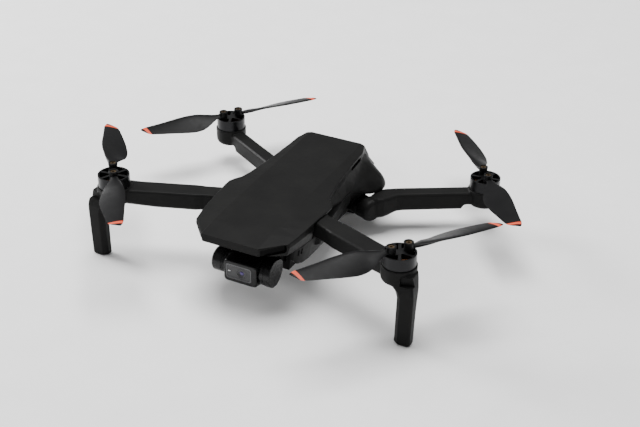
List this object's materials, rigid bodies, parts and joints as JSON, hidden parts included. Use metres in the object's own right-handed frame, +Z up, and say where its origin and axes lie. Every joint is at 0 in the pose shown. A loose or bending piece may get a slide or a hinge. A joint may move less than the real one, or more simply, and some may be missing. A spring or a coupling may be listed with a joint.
{
  "type": "folding camera drone",
  "caption": "Small folding quadcopter with hinged arms, outrunner motors, folding propellers and a three-axis camera gimbal under the nose.",
  "frame": {"origin": "on the ground under the centre of the four rotors", "axes": "+Z up, nose towards -Y, the drone's left towards +X"},
  "size_m": [0.249, 0.223, 0.054],
  "materials": {
    "shell": "fine matte moulded plastic",
    "trim": "satin black plastic",
    "battery_case": "matte grey plastic",
    "board": "green lacquered laminate",
    "heat_sink_metal": "bare aluminium",
    "steel": "plain steel",
    "rubber": "soft rubber",
    "lens": "coated optical glass",
    "copper": "enamelled copper wire",
    "bell": "satin black anodised aluminium",
    "magnet": "nickel plated",
    "blade": "glass-filled nylon with orange tip bands",
    "screw": "bronze-coloured plated steel"
  },
  "bodies": {
    "airframe": {"top_shell": "shell", "lower_shell": "shell", "nose_inserts": "trim", "battery": "battery_case", "main_board": "board", "heat_sink": "heat_sink_metal", "vision_sensor": "trim", "usb_port": "steel", "arm_hinge_pins": "steel", "shell_screws": "steel", "gimbal_mount": "rubber", "rear_feet": "shell"},
    "front_arm_left": {"front_arm_left": "shell", "front_leg_left": "shell", "motor_stator_fl": "steel", "motor_windings_fl": "copper", "motor_bearings_fl": "steel"},
    "rear_arm_left": {"rear_arm_left": "shell", "motor_stator_rl": "steel", "motor_windings_rl": "copper", "motor_bearings_rl": "steel"},
    "rotor_fl": {"rotor_bell_fl": "bell", "rotor_magnets_fl": "magnet", "motor_shaft_fl": "steel", "prop_screws_fl": "screw"},
    "blade_a_fl": {"blade_a_fl": "blade"},
    "blade_b_fl": {"blade_b_fl": "blade"},
    "rotor_rl": {"rotor_bell_rl": "bell", "rotor_magnets_rl": "magnet", "motor_shaft_rl": "steel", "prop_screws_rl": "screw"},
    "blade_a_rl": {"blade_a_rl": "blade"},
    "blade_b_rl": {"blade_b_rl": "blade"},
    "front_arm_right": {"front_arm_right": "shell", "front_leg_right": "shell", "motor_stator_fr": "steel", "motor_windings_fr": "copper", "motor_bearings_fr": "steel"},
    "rear_arm_right": {"rear_arm_right": "shell", "motor_stator_rr": "steel", "motor_windings_rr": "copper", "motor_bearings_rr": "steel"},
    "rotor_fr": {"rotor_bell_fr": "bell", "rotor_magnets_fr": "magnet", "motor_shaft_fr": "steel", "prop_screws_fr": "screw"},
    "blade_a_fr": {"blade_a_fr": "blade"},
    "blade_b_fr": {"blade_b_fr": "blade"},
    "rotor_rr": {"rotor_bell_rr": "bell", "rotor_magnets_rr": "magnet", "motor_shaft_rr": "steel", "prop_screws_rr": "screw"},
    "blade_a_rr": {"blade_a_rr": "blade"},
    "blade_b_rr": {"blade_b_rr": "blade"},
    "gimbal_yaw": {"gimbal_yaw_arm": "trim"},
    "gimbal_roll": {"gimbal_roll_arm": "trim"},
    "camera": {"camera_housing": "trim", "camera_lens": "lens"},
    "battery_door": {"battery_door": "shell"},
    "power_button": {"power_button": "trim"}
  },
  "joints": [
    {"name": "rear_arm_left_fold", "type": "hinge", "parent": "airframe", "child": "rear_arm_left", "pos_m": [0.0275, 0.0245, 0.015], "axis": [-0.8846, 0.4664, 0], "range_deg": [0, 180]},
    {"name": "front_arm_left_fold", "type": "hinge", "parent": "airframe", "child": "front_arm_left", "pos_m": [0.0275, -0.039, 0.0367], "axis": [0, 0, 1], "range_deg": [0, 105]},
    {"name": "rotor_fl_spin", "type": "hinge", "parent": "front_arm_left", "child": "rotor_fl", "pos_m": [0.086, -0.063, 0.0509], "axis": [0, 0, -1], "continuous": true},
    {"name": "blade_a_fl_fold", "type": "hinge", "parent": "rotor_fl", "child": "blade_a_fl", "pos_m": [0.08901, -0.05901, 0.0509], "axis": [0, 0, 1], "range_deg": [-90, 90]},
    {"name": "blade_b_fl_fold", "type": "hinge", "parent": "rotor_fl", "child": "blade_b_fl", "pos_m": [0.08299, -0.06699, 0.0509], "axis": [0, 0, 1], "range_deg": [-90, 90]},
    {"name": "rotor_rl_spin", "type": "hinge", "parent": "rear_arm_left", "child": "rotor_rl", "pos_m": [0.086, 0.063, 0.0325], "axis": [0, 0, 1], "continuous": true},
    {"name": "blade_a_rl_fold", "type": "hinge", "parent": "rotor_rl", "child": "blade_a_rl", "pos_m": [0.08299, 0.06699, 0.0325], "axis": [0, 0, 1], "range_deg": [-90, 90]},
    {"name": "blade_b_rl_fold", "type": "hinge", "parent": "rotor_rl", "child": "blade_b_rl", "pos_m": [0.08901, 0.05901, 0.0325], "axis": [0, 0, 1], "range_deg": [-90, 90]},
    {"name": "rear_arm_right_fold", "type": "hinge", "parent": "airframe", "child": "rear_arm_right", "pos_m": [-0.0275, 0.0245, 0.015], "axis": [-0.8846, -0.4664, 0], "range_deg": [0, 180]},
    {"name": "front_arm_right_fold", "type": "hinge", "parent": "airframe", "child": "front_arm_right", "pos_m": [-0.0275, -0.039, 0.0367], "axis": [0, 0, -1], "range_deg": [0, 105]},
    {"name": "rotor_fr_spin", "type": "hinge", "parent": "front_arm_right", "child": "rotor_fr", "pos_m": [-0.086, -0.063, 0.0509], "axis": [0, 0, 1], "continuous": true},
    {"name": "blade_a_fr_fold", "type": "hinge", "parent": "rotor_fr", "child": "blade_a_fr", "pos_m": [-0.08901, -0.05901, 0.0509], "axis": [0, 0, -1], "range_deg": [-90, 90]},
    {"name": "blade_b_fr_fold", "type": "hinge", "parent": "rotor_fr", "child": "blade_b_fr", "pos_m": [-0.08299, -0.06699, 0.0509], "axis": [0, 0, -1], "range_deg": [-90, 90]},
    {"name": "rotor_rr_spin", "type": "hinge", "parent": "rear_arm_right", "child": "rotor_rr", "pos_m": [-0.086, 0.063, 0.0325], "axis": [0, 0, -1], "continuous": true},
    {"name": "blade_a_rr_fold", "type": "hinge", "parent": "rotor_rr", "child": "blade_a_rr", "pos_m": [-0.08299, 0.06699, 0.0325], "axis": [0, 0, -1], "range_deg": [-90, 90]},
    {"name": "blade_b_rr_fold", "type": "hinge", "parent": "rotor_rr", "child": "blade_b_rr", "pos_m": [-0.08901, 0.05901, 0.0325], "axis": [0, 0, -1], "range_deg": [-90, 90]},
    {"name": "gimbal_yaw", "type": "hinge", "parent": "airframe", "child": "gimbal_yaw", "pos_m": [0, -0.054, 0.027], "axis": [0, 0, 1], "range_deg": [-18, 18]},
    {"name": "gimbal_roll", "type": "hinge", "parent": "gimbal_yaw", "child": "gimbal_roll", "pos_m": [0, -0.054, 0.017], "axis": [0, 1, 0], "range_deg": [-25, 25]},
    {"name": "camera_tilt", "type": "hinge", "parent": "gimbal_roll", "child": "camera", "pos_m": [-0.003, -0.066, 0.017], "axis": [-1, 0, 0], "range_deg": [-90, 20]},
    {"name": "battery_door_hinge", "type": "hinge", "parent": "airframe", "child": "battery_door", "pos_m": [0, 0.0491, 0.0087], "axis": [-1, 0, 0], "range_deg": [0, 100]},
    {"name": "power_button_press", "type": "slide", "parent": "airframe", "child": "power_button", "axis": [0, 0, 1], "range_m": [0, 0.0006], "stiffness_N_per_m": 600, "springref_m": -0.0008}
  ],
  "couplings": [
    {"joint": "front_arm_left_fold", "follows": "rear_arm_left_fold", "ratio": 0.58333},
    {"joint": "front_arm_right_fold", "follows": "rear_arm_right_fold", "ratio": 0.58333}
  ]
}
